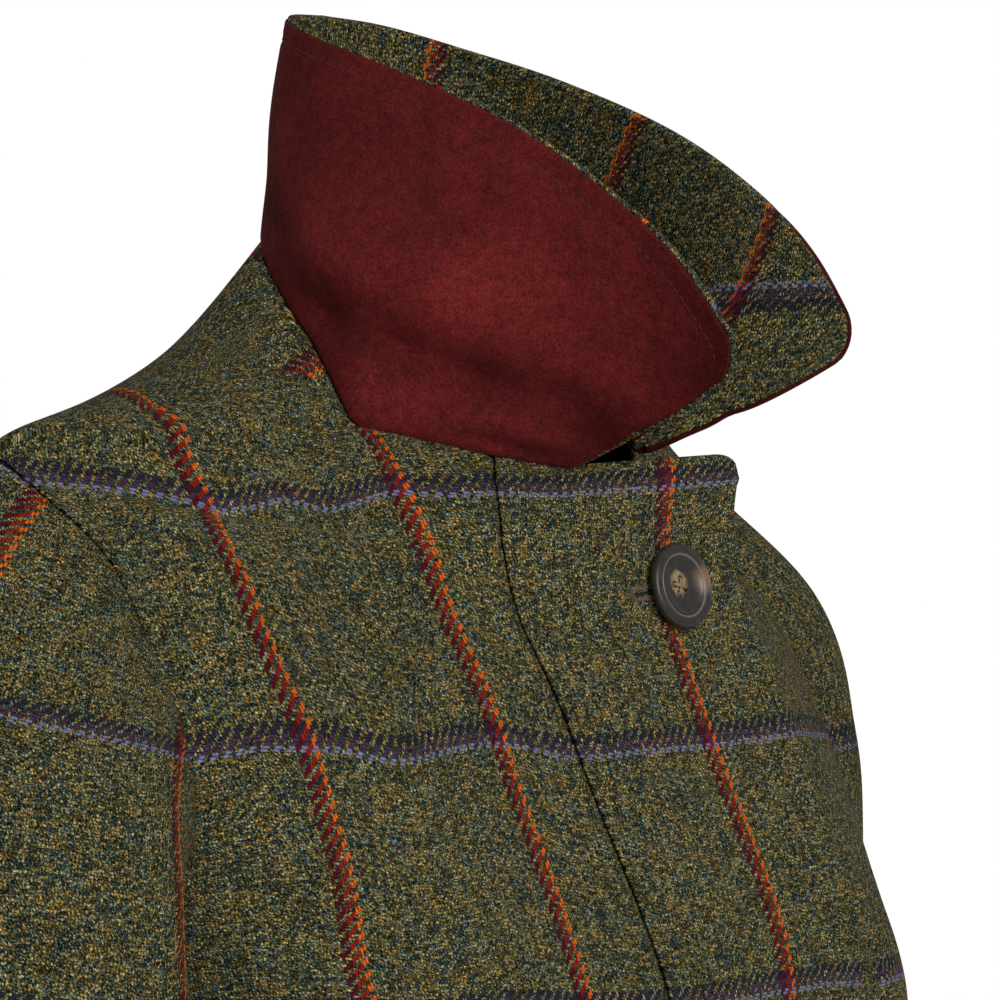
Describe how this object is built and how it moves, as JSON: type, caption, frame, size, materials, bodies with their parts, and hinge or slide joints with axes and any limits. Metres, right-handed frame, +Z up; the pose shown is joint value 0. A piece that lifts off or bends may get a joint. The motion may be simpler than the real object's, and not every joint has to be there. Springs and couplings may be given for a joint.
{
  "type": "tweed jacket",
  "caption": "Tailored wool tweed jacket with a windowpane check, a turned-up collar with a suede under side, set-in sleeves and a buttoned front, in its hollow worn shape.",
  "frame": {"origin": "middle of the base of the neck, between the shoulder seams, where the garment is carried", "axes": "+Z up the body, -Y out of the front, +X to the wearer's left"},
  "size_m": [0.6282, 0.2864, 0.7503],
  "materials": {
    "tweed": "olive wool tweed, twill weave, windowpane check in maroon, orange, navy and lavender",
    "burgundy_suede": "soft napped suede cloth",
    "horn": "polished dark horn, brown marbling"
  },
  "bodies": {
    "root": {"front_right_centre": "tweed", "front_right_side": "tweed", "front_left_centre": "tweed", "front_left_side": "tweed", "back_right": "tweed", "back_left": "tweed", "sleeve_right_top": "tweed", "sleeve_right_under": "tweed", "sleeve_left_top": "tweed", "sleeve_left_under": "tweed", "collar_upper": "tweed", "collar_under": "burgundy_suede", "button_1": "horn", "button_2": "horn", "button_3": "horn", "button_4": "horn"}
  },
  "joints": []
}
